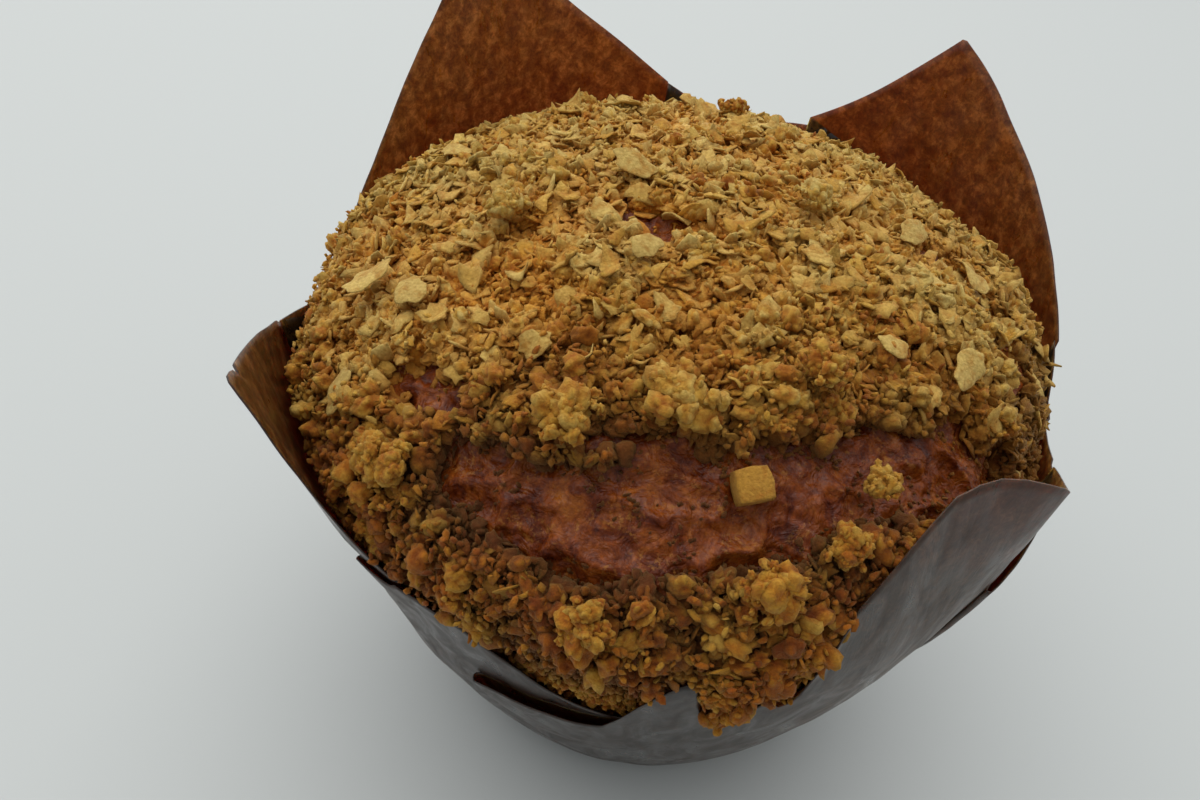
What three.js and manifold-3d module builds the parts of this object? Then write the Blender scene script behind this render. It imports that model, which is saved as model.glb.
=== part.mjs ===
// A crumble-topped muffin in a tulip cup: one folded sheet of brown parchment, the cake baked in it, and the
// oat crumble baked onto its dome. Lengths are in millimetres and angles in degrees. +Z is up, the origin is the
// middle of the cup's flat base, and azimuths run anticlockwise from +X, so the open side of the topping faces -Y.
import * as THREE from "three";
import { mergeVertices } from "three/addons/utils/BufferGeometryUtils.js";
import Module from "manifold-3d";

const wasm = await Module();
wasm.setup();

// ---- driving dimensions ----
const GAP = 0.35; // between pieces that touch
const PAPER = 0.5; // the parchment, drawn stout enough to be a solid
const BASE_RADIUS = 25; // the flat bottom of the cup
const BASE_ROUND = 1.2; // rounding where the bottom turns up into the wall
const WALL_SLOPE = 0.479; // how fast the wall's radius grows with height at the bottom,
const WALL_BOW = 0.0044; // and how that slope falls off with height squared
const MOUTH_HEIGHT = 46; // above this the paper stands straight up
const MOUTH_FLARE = 1.6; // how far the swelling cake has pushed the mouth out,
const FLARE_HEIGHT = 28; // starting from this height
const PINCH = { azimuth: 318, width: 28 }; // where a petal holds the mouth in instead
const MOUTH_SHIFT = -1.75; // the mouth stands this far over along X,
const SHIFT_HEIGHT = 30; // from this height up

const DOME_CENTRE = 46.9; // height of the dome's widest level
const CRUMBLE_ROOM = 3.4; // the crust lies this far inside the outside of the mouth
const CRUST_RISE = 18.6; // from the widest level to the top of the crust
const CRUMBLE_THICKNESS = 2;
const CRUMBLE_THIN = 1.5; // where it meets the paper

// The four corners of the sheet stand up as petals. Each runs from one valley's azimuth to the next, and its edge
// falls from the tip by the power given for each side: 1 is straight, above 1 hollow, below 1 full. The tip leans
// outwards by lean, and hug pulls the petal's first side in towards the dome.
const PETALS = [
  { tip: 56, height: 73.5, lean: 1.7, start: 3, end: 84, startPower: 0.82, endPower: 1.5, hug: 0 },
  { tip: 143, height: 78, lean: 1.5, start: 99, end: 186, startPower: 1, endPower: 1.7, hug: 0 },
  { tip: 226, height: 62, lean: 5.6, start: 190, end: 245, startPower: 1.1, endPower: 1.5, hug: 0 },
  { tip: 326, height: 61, lean: 1, start: 289, end: 358, startPower: 0.42, endPower: 1.5, hug: -2.4 },
];
const VALLEYS = [
  { azimuth: 0, height: 48 },
  { azimuth: 92, height: 56.5 },
  { azimuth: 188, height: 48.5 },
  { azimuth: 266, height: 44.5 },
];
// Folds that take up the spare paper, as a step in the outside of the wall at each azimuth.
const PLEATS = [346, 0, 14, 83, 95, 107, 176, 189, 202, 251, 266, 281];
const PLEAT_WIDTH = 7;
const PLEAT_STEP = 0.9; // two more layers of paper

// ---- small helpers ----
const radians = THREE.MathUtils.degToRad;
const wrap = (angle) => ((angle % 360) + 360) % 360;
const turnBetween = (from, to) => wrap(to - from + 180) - 180;

// A smooth bumpiness between -1 and 1 over the dome, the same on each run.
function lumps(azimuth, polar, scale, phase) {
  const a = radians(azimuth);
  const p = radians(polar);
  const x = Math.sin(p) * Math.cos(a) * scale;
  const y = Math.sin(p) * Math.sin(a) * scale;
  const z = Math.cos(p) * scale;
  return (
    (Math.sin(2.1 * x + 1.3 * y + phase) +
      Math.sin(1.7 * y - 2.3 * z + 2 * phase) +
      Math.sin(2.9 * z + 1.9 * x - 3 * phase)) /
    3
  );
}

function toManifold(geometry) {
  const bare = geometry.clone();
  bare.deleteAttribute("normal");
  bare.deleteAttribute("uv");
  const merged = mergeVertices(bare, 1e-4);
  return new wasm.Manifold(
    new wasm.Mesh({
      numProp: 3,
      vertProperties: new Float32Array(merged.attributes.position.array),
      triVerts: new Uint32Array(merged.index.array),
    }),
  );
}

function toGeometry(solid) {
  const mesh = solid.getMesh();
  const geometry = new THREE.BufferGeometry();
  geometry.setAttribute("position", new THREE.BufferAttribute(mesh.vertProperties, 3));
  geometry.setIndex(new THREE.BufferAttribute(mesh.triVerts, 1));
  geometry.computeVertexNormals();
  return geometry;
}

// A lathe whose outline may change on its way round. meridian(azimuth) gives [radius, height] points that start
// and end on the axis, anticlockwise as seen with the axis on the left.
function spun(azimuths, meridian) {
  const outlines = azimuths.map(meridian);
  const inner = outlines[0].length - 2; // the points that aren't on the axis
  const first = outlines[0][0];
  const last = outlines[0][inner + 1];
  const positions = [0, 0, first[1], 0, 0, last[1]];
  outlines.forEach((outline, column) => {
    const a = radians(azimuths[column]);
    outline.slice(1, -1).forEach(([r, z]) => positions.push(r * Math.cos(a), r * Math.sin(a), z));
  });
  const at = (column, row) => 2 + (column % azimuths.length) * inner + row;
  const triangles = [];
  azimuths.forEach((_, column) => {
    triangles.push(0, at(column + 1, 0), at(column, 0));
    for (let row = 0; row < inner - 1; row++) {
      triangles.push(at(column, row), at(column + 1, row), at(column + 1, row + 1));
      triangles.push(at(column, row), at(column + 1, row + 1), at(column, row + 1));
    }
    triangles.push(1, at(column, inner - 1), at(column + 1, inner - 1));
  });
  const geometry = new THREE.BufferGeometry();
  geometry.setAttribute("position", new THREE.Float32BufferAttribute(positions, 3));
  geometry.setIndex(triangles);
  geometry.computeVertexNormals();
  return geometry;
}

const evenAzimuths = (count) => Array.from({ length: count }, (_, i) => (360 * i) / count);
const steps = (count) => Array.from({ length: count + 1 }, (_, i) => i / count);

// ---- the parchment cup ----
function mouthFlare(azimuth) {
  const across = turnBetween(PINCH.azimuth, azimuth) / PINCH.width;
  return MOUTH_FLARE * (1 - Math.exp(-across * across));
}

function wallRadius(azimuth, height) {
  const level = Math.min(height, MOUTH_HEIGHT);
  const flare = THREE.MathUtils.smoothstep(height, FLARE_HEIGHT, MOUTH_HEIGHT + 4) * mouthFlare(azimuth);
  return BASE_RADIUS + WALL_SLOPE * level - WALL_BOW * level * level + flare;
}

// The petal over this azimuth, how far down its edge it is (0 at the tip, 1 at the valley), and on which side.
function petalAt(azimuth) {
  for (const petal of PETALS) {
    const offset = turnBetween(petal.tip, azimuth);
    const reach = offset < 0 ? turnBetween(petal.start, petal.tip) : turnBetween(petal.tip, petal.end);
    if (Math.abs(offset) < reach) return { petal, down: Math.abs(offset) / reach, before: offset < 0 };
  }
  return null;
}

function valleyHeight(azimuth) {
  const distance = (valley) => Math.abs(turnBetween(valley.azimuth, azimuth));
  return VALLEYS.reduce((a, b) => (distance(b) < distance(a) ? b : a)).height;
}

function rimAt(azimuth) {
  const found = petalAt(azimuth);
  if (!found) return { height: valleyHeight(azimuth), lean: 0, hug: 0 };
  const { petal, down, before } = found;
  const low = valleyHeight(before ? petal.start : petal.end);
  const power = before ? petal.startPower : petal.endPower;
  return {
    height: low + (petal.height - low) * (1 - down) ** power,
    lean: petal.lean * (1 - down) ** 1.2,
    hug: before ? petal.hug * Math.sin(Math.PI * Math.min(1, down * 1.15)) ** 0.7 : 0,
  };
}

function pleatRise(azimuth) {
  for (const pleat of PLEATS) {
    const past = turnBetween(pleat, azimuth);
    if (past >= 0 && past < PLEAT_WIDTH) return PLEAT_STEP * (1 - past / PLEAT_WIDTH);
  }
  return 0;
}

const LEAN_HEIGHT = 38; // the height a petal starts to lean out from
const HUG_HEIGHT = 47; // and in from, just above the widest level of the dome
function cupRadius(azimuth, height) {
  const rim = rimAt(azimuth);
  const above = (from) => Math.max(0, (height - from) / Math.max(1, rim.height - from));
  return wallRadius(azimuth, height) + rim.lean * above(LEAN_HEIGHT) ** 1.4 + rim.hug * above(HUG_HEIGHT) ** 1.4;
}

function cupMeridian(azimuth) {
  const top = rimAt(azimuth).height;
  const rise = pleatRise(azimuth);
  const rows = steps(7);
  const outer = rows.map((share) => {
    const height = BASE_ROUND + (top - BASE_ROUND) * share;
    return [cupRadius(azimuth, height) + rise * share, height];
  });
  const inner = rows.map((share) => {
    const height = PAPER + BASE_ROUND + (top - PAPER - BASE_ROUND) * share;
    return [cupRadius(azimuth, height) - PAPER, share === 1 ? top : height];
  });
  return [
    [0, 0],
    [BASE_RADIUS - BASE_ROUND, 0],
    ...outer,
    ...inner.reverse(),
    [BASE_RADIUS - BASE_ROUND - PAPER, PAPER],
    [0, PAPER],
  ];
}

function cupAzimuths() {
  const stepAhead = 0.25; // the near side of each pleat's step
  const found = [
    ...evenAzimuths(48),
    ...PETALS.map((petal) => wrap(petal.tip)),
    ...PLEATS.flatMap((pleat) => [wrap(pleat), wrap(pleat - stepAhead)]),
  ];
  const sorted = [...new Set(found)].sort((a, b) => a - b);
  const isPleat = (azimuth) => PLEATS.some((pleat) => Math.abs(turnBetween(pleat, azimuth)) < 2 * stepAhead);
  // An even column that lies almost on another one would only make slivers.
  return sorted.filter((azimuth, i) => {
    const next = sorted[(i + 1) % sorted.length];
    return isPleat(azimuth) || PETALS.some((petal) => petal.tip === azimuth) || wrap(next - azimuth) > 1.5;
  });
}

// ---- the cake ----
// A point on the crust, and its outward direction, as [radius, height] pairs. polar is 0 at the top of the dome.
function crustAt(azimuth, polar) {
  const swell = 1 + 0.018 * lumps(azimuth, polar, 3.2, 0.7);
  const p = radians(polar);
  const pinched = (wallRadius(azimuth, MOUTH_HEIGHT + 4) - CRUMBLE_ROOM) * swell;
  const point = [pinched * Math.sin(p), DOME_CENTRE + CRUST_RISE * swell * Math.cos(p)];
  const normal = new THREE.Vector2(Math.sin(p) / pinched, Math.cos(p) / CRUST_RISE).normalize();
  return { point, normal: [normal.x, normal.y] };
}

function cakeMeridian(azimuth) {
  const bottom = PAPER + GAP;
  const wall = steps(4).map((share) => {
    const height = bottom + 1 + (DOME_CENTRE - 5 - bottom) * share;
    return [wallRadius(azimuth, height) - PAPER - GAP - 0.2, height];
  });
  const dome = steps(8).map((share) => crustAt(azimuth, 90 * (1 - share)).point);
  const apex = [0, crustAt(0, 0).point[1]];
  return [[0, bottom], [BASE_RADIUS - BASE_ROUND - PAPER - GAP - 0.4, bottom], ...wall, ...dome.slice(0, -1), apex];
}

// ---- the crumble ----
const CRUMBLE_END = 91; // polar angle of its lower edge, just inside the paper
function crumbleTop(azimuth, polar) {
  const { point, normal } = crustAt(azimuth, polar);
  const thin = THREE.MathUtils.smoothstep(polar, 66, 90);
  const lump = 1 + 0.4 * lumps(azimuth, polar, 9, 0.3);
  const rise = GAP + THREE.MathUtils.lerp(CRUMBLE_THICKNESS * lump, CRUMBLE_THIN, thin);
  return [point[0] + normal[0] * rise, point[1] + normal[1] * rise];
}

function crumbleMeridian(azimuth) {
  const polars = steps(8)
    .slice(0, -1)
    .map((share) => CRUMBLE_END * (1 - share));
  const under = polars.map((polar) => {
    const { point, normal } = crustAt(azimuth, polar);
    return [point[0] + normal[0] * GAP, point[1] + normal[1] * GAP];
  });
  const over = polars.map((polar) => crumbleTop(azimuth, polar));
  const apexUnder = [0, crustAt(0, 0).point[1] + GAP];
  const apexOver = [0, crumbleTop(0, 0)[1]];
  return [apexUnder, ...under.reverse(), ...over, apexOver];
}

// Where no crumble stuck and the crust shows: strokes over the dome, each a row of [azimuth, polar, width] stops.
const BARE_PATCHES = [
  [[252, 63, 3], [258, 64.5, 16], [267, 62, 18], [278, 56.5, 16], [290, 52, 15], [305, 47.5, 9], [322, 50, 12], [338, 55, 4]],
  [[226, 60, 2], [230, 56, 9], [236, 56, 9], [242, 54, 3]],
  [[200, 13.5, 1], [222, 13, 4], [244, 12, 4], [262, 11, 1]],
];

// The outline of a stroke, with the polar angle as x and the azimuth as y.
function strokeOutline(stops) {
  const curve = new THREE.CatmullRomCurve3(stops.map(([azimuth, polar, width]) => new THREE.Vector3(polar, azimuth, width)));
  const along = steps(12).map((t) => ({ at: curve.getPoint(t), way: curve.getTangent(t) }));
  const side = (sign) =>
    along.map(({ at, way }) => {
      const half = (sign * Math.max(1, at.z)) / 2;
      const length = Math.hypot(way.x, way.y);
      const crowding = 1 / Math.sin(radians(at.x)); // azimuths lie closer together towards the top
      return new THREE.Vector2(at.x + (way.y / length) * half, at.y - (way.x / length) * half * crowding);
    });
  return [...side(1), ...side(-1).reverse()];
}

// A stroke cut straight through the crumble, from well inside the dome to well outside it.
function patchCutter(patch) {
  const flat = new THREE.ExtrudeGeometry(new THREE.Shape(strokeOutline(patch)), { depth: 1, bevelEnabled: false });
  const corners = flat.getAttribute("position");
  for (let i = 0; i < corners.count; i++) {
    const a = radians(corners.getY(i));
    const { point } = crustAt(corners.getY(i), corners.getX(i));
    const out = corners.getZ(i) > 0.5 ? 1.25 : 0.6;
    const r = point[0] * out;
    corners.setXYZ(i, r * Math.cos(a), r * Math.sin(a), DOME_CENTRE + (point[1] - DOME_CENTRE) * out);
  }
  return toManifold(flat);
}

// Loose-standing bits that show singly: rolled oat flakes, clumps of crumble and one square chunk.
// at is [azimuth, polar], and size is length, width and thickness.
const BITS = [
  { name: "oat_flake_right", kind: "flake", at: [332, 46], size: [5, 3.6, 0.9], turn: 20 },
  { name: "oat_flake_upper_right", kind: "flake", at: [321, 37], size: [3.4, 2.6, 0.8], turn: 80 },
  { name: "oat_flake_back_right", kind: "flake", at: [7, 30], size: [4.4, 2.4, 0.8], turn: 0 },
  { name: "oat_flake_far_right", kind: "flake", at: [2, 42], size: [4.6, 2.8, 0.8], turn: 150 },
  { name: "oat_flake_crown", kind: "flake", at: [186, 12], size: [5.2, 4.4, 0.8], turn: 30 },
  { name: "oat_flake_back_left", kind: "flake", at: [172, 45], size: [4.6, 3.6, 0.8], turn: 60 },
  { name: "oat_flake_left_upper", kind: "flake", at: [211, 55], size: [6, 3.6, 0.9], turn: 105 },
  { name: "oat_flake_left_inner", kind: "flake", at: [218, 49], size: [5, 3, 0.8], turn: 120 },
  { name: "oat_flake_left_low", kind: "flake", at: [223, 70], size: [5.4, 2.4, 0.8], turn: 10 },
  { name: "oat_flake_front_crown", kind: "flake", at: [251, 20], size: [4.2, 3.2, 0.8], turn: 45 },
  { name: "crumble_chunk_square", kind: "chunk", at: [286, 51], size: [3.1, 3, 2], turn: 25 },
  { name: "crumble_bit_bare_right", kind: "clump", at: [319.5, 49.5], size: [2.1, 1.8, 1.5], turn: 40 },
  { name: "crumble_curl_right", kind: "clump", at: [306, 55.5], size: [3.4, 1.9, 1.8], turn: 10 },
  { name: "crumble_clump_front_ball", kind: "clump", at: [288, 68], size: [5, 4.6, 3.4], turn: 15 },
  { name: "crumble_clump_front_left", kind: "clump", at: [268, 78], size: [4.2, 3.4, 3], turn: 70 },
  { name: "crumble_clump_front_right", kind: "clump", at: [299, 64], size: [4.4, 3.6, 3], turn: 130 },
  { name: "crumble_clump_centre", kind: "clump", at: [273, 42], size: [5.6, 4.4, 3], turn: 0 },
  { name: "crumble_clump_centre_right", kind: "clump", at: [301, 37], size: [3.8, 3, 2.6], turn: 50 },
  { name: "crumble_clump_ring", kind: "clump", at: [257, 48.5], size: [4.6, 3.8, 2.8], turn: 90 },
  { name: "crumble_clump_left", kind: "clump", at: [237, 70], size: [4.6, 3.8, 3], turn: 35 },
  { name: "crumble_clump_upper_left", kind: "clump", at: [208, 31], size: [4, 3.4, 2.6], turn: 60 },
  { name: "crumble_clump_crown", kind: "clump", at: [3, 13.5], size: [3.8, 3.4, 2.6], turn: 0 },
  { name: "crumble_clump_back", kind: "clump", at: [92, 34], size: [4.8, 3.8, 3], turn: 20 },
  { name: "crumble_clump_back_low", kind: "clump", at: [124, 62], size: [4.6, 4, 3], turn: 75 },
];
const BARE_BITS = ["crumble_chunk_square", "crumble_bit_bare_right"];

function flakeShape() {
  const disc = new THREE.CylinderGeometry(0.5, 0.46, 1, 9, 1);
  disc.rotateX(Math.PI / 2);
  return disc;
}

function clumpShape(seed) {
  const ball = new THREE.IcosahedronGeometry(0.5, 1);
  const corners = ball.getAttribute("position");
  const corner = new THREE.Vector3();
  for (let i = 0; i < corners.count; i++) {
    corner.fromBufferAttribute(corners, i);
    const azimuth = THREE.MathUtils.radToDeg(Math.atan2(corner.y, corner.x));
    const polar = THREE.MathUtils.radToDeg(Math.acos(corner.z / corner.length()));
    corner.multiplyScalar(1 + 0.12 * lumps(azimuth, polar, 2, seed));
    corners.setXYZ(i, corner.x, corner.y, corner.z);
  }
  return ball;
}

function chunkShape() {
  return new THREE.BoxGeometry(1, 1, 1);
}

// A bit's shape on the dome, grown by clearance all round.
function bitGeometry(bit, seed, clearance) {
  const shapes = { flake: flakeShape, clump: clumpShape, chunk: chunkShape };
  const geometry = shapes[bit.kind](seed);
  geometry.scale(...bit.size.map((length) => length + 2 * clearance));
  geometry.rotateZ(radians(bit.turn));
  const [azimuth, polar] = bit.at;
  const { point, normal } = crustAt(azimuth, polar);
  const onCrust = BARE_BITS.includes(bit.name);
  const sunk = bit.kind === "flake" ? 0.2 : 0.15 * bit.size[2];
  const level = onCrust ? [point[0], point[1]] : crumbleTop(azimuth, polar);
  const lift = onCrust ? GAP + 0.6 * bit.size[2] : bit.size[2] / 2 - sunk;
  const a = radians(azimuth);
  const outward = new THREE.Vector3(normal[0] * Math.cos(a), normal[0] * Math.sin(a), normal[1]);
  geometry.applyQuaternion(new THREE.Quaternion().setFromUnitVectors(new THREE.Vector3(0, 0, 1), outward));
  geometry.translate(level[0] * Math.cos(a), level[0] * Math.sin(a), level[1]);
  geometry.translate(...outward.multiplyScalar(lift).toArray());
  return geometry;
}

function crumbleSolid() {
  const layer = toManifold(spun(evenAzimuths(52), crumbleMeridian));
  const cutters = BARE_PATCHES.map(patchCutter);
  const pockets = BITS.map((bit, i) => toManifold(bitGeometry(bit, i, GAP)));
  const cut = [...cutters, ...pockets].reduce((solid, cutter) => solid.subtract(cutter), layer);
  // A cut may leave a sliver standing by itself, which is dropped.
  return cut.decompose().reduce((a, b) => (b.volume() > a.volume() ? b : a));
}

// ---- assembly ----
const PARCHMENT = new THREE.MeshStandardMaterial({ color: 0x5a3420, roughness: 0.6, side: THREE.DoubleSide });
const CRUST = new THREE.MeshStandardMaterial({ color: 0x7a3a22, roughness: 0.5 });
const CRUMBLE = new THREE.MeshStandardMaterial({ color: 0xc08a3e, roughness: 0.9 });
const OAT = new THREE.MeshStandardMaterial({ color: 0xd8b878, roughness: 0.85 });

// Moves every level over to where it really stands on the base.
function shiftLevels(geometry) {
  const corners = geometry.getAttribute("position");
  for (let i = 0; i < corners.count; i++) {
    const below = Math.max(0, 1 - corners.getZ(i) / SHIFT_HEIGHT);
    corners.setX(i, corners.getX(i) + MOUTH_SHIFT * (1 - below * below));
  }
}

const muffin = new THREE.Group();
function add(name, geometry, material) {
  shiftLevels(geometry);
  const mesh = new THREE.Mesh(geometry, material);
  mesh.name = name;
  muffin.add(mesh);
}

add("paper_cup", spun(cupAzimuths(), cupMeridian), PARCHMENT);
add("cake", spun(evenAzimuths(48), cakeMeridian), CRUST);
add("crumble_topping", toGeometry(crumbleSolid()), CRUMBLE);
BITS.forEach((bit, i) => add(bit.name, bitGeometry(bit, i, 0), bit.kind === "flake" ? OAT : CRUMBLE));

export default muffin;
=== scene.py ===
"""The muffin's looks: a crumble-topped cake in a folded tulip cup of brown parchment.

They are built round the CAD frame. Lengths are in millimetres and angles in degrees until a mesh is made, in
metres. Azimuths run anticlockwise from +X, and polar angles run down from the top of the dome.
"""

import bmesh
import bpy
import numpy as np
from mathutils import Matrix, Vector


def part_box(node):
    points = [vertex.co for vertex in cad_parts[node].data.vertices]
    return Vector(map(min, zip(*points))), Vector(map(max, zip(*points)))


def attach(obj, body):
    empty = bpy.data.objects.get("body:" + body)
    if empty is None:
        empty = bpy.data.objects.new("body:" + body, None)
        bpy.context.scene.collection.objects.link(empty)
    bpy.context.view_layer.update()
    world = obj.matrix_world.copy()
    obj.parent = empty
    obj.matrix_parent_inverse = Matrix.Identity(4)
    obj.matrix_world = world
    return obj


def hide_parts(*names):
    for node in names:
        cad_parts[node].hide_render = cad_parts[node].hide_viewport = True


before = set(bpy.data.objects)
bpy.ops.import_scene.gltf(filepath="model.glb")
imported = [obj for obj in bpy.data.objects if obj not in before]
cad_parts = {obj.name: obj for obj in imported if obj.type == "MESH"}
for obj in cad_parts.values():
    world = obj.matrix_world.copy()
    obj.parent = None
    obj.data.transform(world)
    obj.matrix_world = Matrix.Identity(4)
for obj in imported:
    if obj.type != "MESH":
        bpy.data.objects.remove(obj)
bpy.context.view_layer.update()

MM = 0.001
rng = np.random.default_rng(20)

# ---- the CAD model's dimensions ----
BASE_RADIUS = 25.0
BASE_ROUND = 1.2
WALL_SLOPE = 0.479
WALL_BOW = 0.0044
MOUTH_HEIGHT = 46.0
MOUTH_FLARE = 1.6
FLARE_HEIGHT = 28.0
PINCH_AZIMUTH, PINCH_WIDTH = 318.0, 28.0
MOUTH_SHIFT, SHIFT_HEIGHT = -1.75, 30.0
DOME_CENTRE = 46.9
DOME_RADIUS = 38.0  # roughly, all round
DOME_MIDDLE = np.array([MOUTH_SHIFT, 0, DOME_CENTRE])
CRUST_RISE = 19.0
CRUST_ROOM = 2.0  # the crust lies this far inside the outside of the mouth
LEAN_HEIGHT, HUG_HEIGHT = 38.0, 47.0
PAPER_ROOM = 0.65  # the crumble keeps this far inside the cup's nominal surface

PETALS = [
    dict(tip=56, height=73.5, lean=1.7, start=3, end=84, start_power=0.82, end_power=1.5, hug=0),
    dict(tip=143, height=78, lean=1.5, start=99, end=186, start_power=1, end_power=1.7, hug=0),
    dict(tip=226, height=62, lean=5.6, start=190, end=245, start_power=1.1, end_power=1.5, hug=0),
    dict(tip=326, height=61, lean=1, start=289, end=358, start_power=0.42, end_power=1.5, hug=-2.4),
]
VALLEYS = [(0, 48), (92, 56.5), (188, 48.5), (266, 44.5)]

# ---- where the looks part from the CAD model ----
# The dome stands back from the corner of the front right petal.
DENT, DENT_AZIMUTH, DENT_WIDTH = 2.0, 343.0, 15.0
# The left side of that petal's edge: azimuth, height and radius. It bends in above BEND_HEIGHT.
FRONT_RIGHT = [(288.5, 39.3, 39.5), (291, 41.5, 39.4), (294, 46, 39.3), (297, 50.5, 38.4)]
FRONT_RIGHT += [(300, 53.5, 36.9), (303, 56, 36.3), (306, 58, 35.8), (309, 59.8, 35.4), (312, 61.3, 35.0)]
FRONT_RIGHT += [(315, 62, 35.3), (318, 62.2, 36.0), (321, 62, 37.1), (324, 61.5, 38.3), (327, 60.6, 39.1)]
FRONT_RIGHT = np.array(FRONT_RIGHT)
BEND_HEIGHT = 43.0
# The front of the sheet's edge dips below the CAD's, and the crumble shows down to it: azimuth and height.
FRONT_DIP = [(246, 44.5), (252, 44.3), (257, 42.2), (260.5, 40.8), (264, 38.4), (267, 37), (270, 36.2)]
FRONT_DIP += [(274, 35.4), (281, 36), (285, 38.8)]
FRONT_EDGE = np.array(FRONT_DIP + [(azimuth, height) for azimuth, height, _ in FRONT_RIGHT])


# ---- numbers ----
def turn(start, end):
    return (end - start + 180) % 360 - 180


def smooth(x, low, high):
    t = np.clip((x - low) / (high - low), 0, 1)
    return t * t * (3 - 2 * t)


def facing(azimuth, middle, low, high):
    """1 near the middle azimuth and 0 away from it, where low and high are cosines of the angle between."""
    return smooth(np.cos(np.radians(turn(middle, azimuth))), low, high)


def unit(vectors):
    return vectors / np.linalg.norm(vectors, axis=-1, keepdims=True)


def hashed(x, y, z, seed):
    """A repeatable random number from 0 to 1 for each whole-numbered x, y, z."""
    h = (x * 374761393 + y * 668265263 + z * 1440662683 + seed * 974634777) & 0xFFFFFFFF
    h = ((h ^ (h >> 13)) * 1274126177) & 0xFFFFFFFF
    return ((h ^ (h >> 16)) & 0xFFFFFF) / 0xFFFFFF


def noise(points, scale, seed=0):
    """Smooth noise from -1 to 1, with bumps about as wide as scale."""
    q = points / scale
    base = np.floor(q).astype(np.int64)
    f = q - base
    f = f * f * (3 - 2 * f)
    total = np.zeros(len(points))
    for corner in range(8):
        step = np.array([corner & 1, corner >> 1 & 1, corner >> 2])
        weight = np.prod(np.where(step, f, 1 - f), axis=1)
        total += weight * hashed(*(base + step).T, seed)
    return 2 * total - 1


def fractal(points, scale, octaves, seed=0):
    return sum(noise(points, scale / 2**k, seed + k) / 2**k for k in range(octaves))


def cells(points, scale, seed=0):
    """The distance to the nearest of one random point in each cell, in cells, and that point's own number."""
    q = points / scale
    base = np.floor(q).astype(np.int64)
    nearest, own = np.full(len(points), 9.0), np.zeros(len(points))
    for step in np.ndindex(3, 3, 3):
        cell = base + np.array(step) - 1
        spot = cell + np.stack([hashed(*cell.T, seed + k) for k in (1, 2, 3)], 1)
        distance = np.linalg.norm(spot - q, axis=1)
        closer = distance < nearest
        nearest[closer] = distance[closer]
        own[closer] = hashed(*cell.T, seed + 4)[closer]
    return nearest, own


# ---- the shapes of the cup and the dome ----
def mouth_flare(azimuth):
    across = turn(PINCH_AZIMUTH, azimuth) / PINCH_WIDTH
    return MOUTH_FLARE * (1 - np.exp(-across * across))


def wall_radius(azimuth, height):
    level = np.clip(height, 0, MOUTH_HEIGHT)
    flare = smooth(height, FLARE_HEIGHT, MOUTH_HEIGHT + 4) * mouth_flare(azimuth)
    return BASE_RADIUS + WALL_SLOPE * level - WALL_BOW * level * level + flare


def valley_height(azimuth):
    azimuth = np.asarray(azimuth, float)
    distances = np.stack([np.abs(turn(a, azimuth)) for a, _ in VALLEYS])
    return np.array([h for _, h in VALLEYS], float)[distances.argmin(0)]


def rim(azimuth):
    """The height of the CAD sheet's edge, how far it leans out, and how far it hugs the dome."""
    azimuth = np.asarray(azimuth, float)
    height, lean, hug = valley_height(azimuth), np.zeros(azimuth.shape), np.zeros(azimuth.shape)
    for petal in PETALS:
        offset = turn(petal["tip"], azimuth)
        for side, edge, power in ((-1, "start", "start_power"), (1, "end", "end_power")):
            reach = abs(turn(petal["tip"], petal[edge]))
            on = (offset * side >= 0) & (np.abs(offset) < reach)
            down = np.abs(offset) / reach
            left = 1 - down.clip(0, 1)
            low = valley_height(petal[edge])
            height = np.where(on, low + (petal["height"] - low) * left ** petal[power], height)
            lean = np.where(on, petal["lean"] * left**1.2, lean)
            if side < 0:
                pull = petal["hug"] * np.sin(np.pi * (down * 1.15).clip(0, 1)).clip(0) ** 0.7
                hug = np.where(on, pull, hug)
    return height, lean, hug


def cup_radius(azimuth, height):
    top, lean, hug = rim(azimuth)

    def above(low):
        return ((height - low) / np.maximum(1, top - low)).clip(0)

    leaning, hugging = lean * above(LEAN_HEIGHT) ** 1.4, hug * above(HUG_HEIGHT) ** 1.4
    return wall_radius(azimuth, height) + leaning + hugging


def sheet_top(azimuth):
    """The height of the visual cup's edge: the CAD's, but for the front and the petal to the right of it."""
    azimuth = np.asarray(azimuth, float) % 360
    on = (azimuth > FRONT_EDGE[0, 0]) & (azimuth < FRONT_EDGE[-1, 0])
    return np.where(on, np.interp(azimuth, *FRONT_EDGE.T), rim(azimuth)[0])


def sheet_radius(azimuth, height):
    """The visual cup's radius, with the left side of the front right petal bent in towards the dome."""
    azimuth = np.asarray(azimuth, float) % 360
    top, edge = (np.interp(azimuth, FRONT_RIGHT[:, 0], FRONT_RIGHT[:, k]) for k in (1, 2))
    rise = ((height - BEND_HEIGHT) / np.maximum(top - BEND_HEIGHT, 1)).clip(0, 1)
    bent = wall_radius(azimuth, height) + (edge - wall_radius(azimuth, top)) * rise**1.3
    share = smooth(azimuth, 289, 292) * (1 - smooth(azimuth, 325, 330))
    return cup_radius(azimuth, height) * (1 - share) + bent * share


def placed(azimuth, radius, height):
    """Cylindrical coordinates as points, with each level moved over to where it stands on the base."""
    a = np.radians(azimuth)
    below = (1 - height / SHIFT_HEIGHT).clip(0)
    shift = MOUTH_SHIFT * (1 - below * below)
    return np.stack([radius * np.cos(a) + shift, radius * np.sin(a), height + 0 * a], -1)


def crust_radius(azimuth):
    return wall_radius(azimuth, MOUTH_HEIGHT + 4) - CRUST_ROOM


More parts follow.
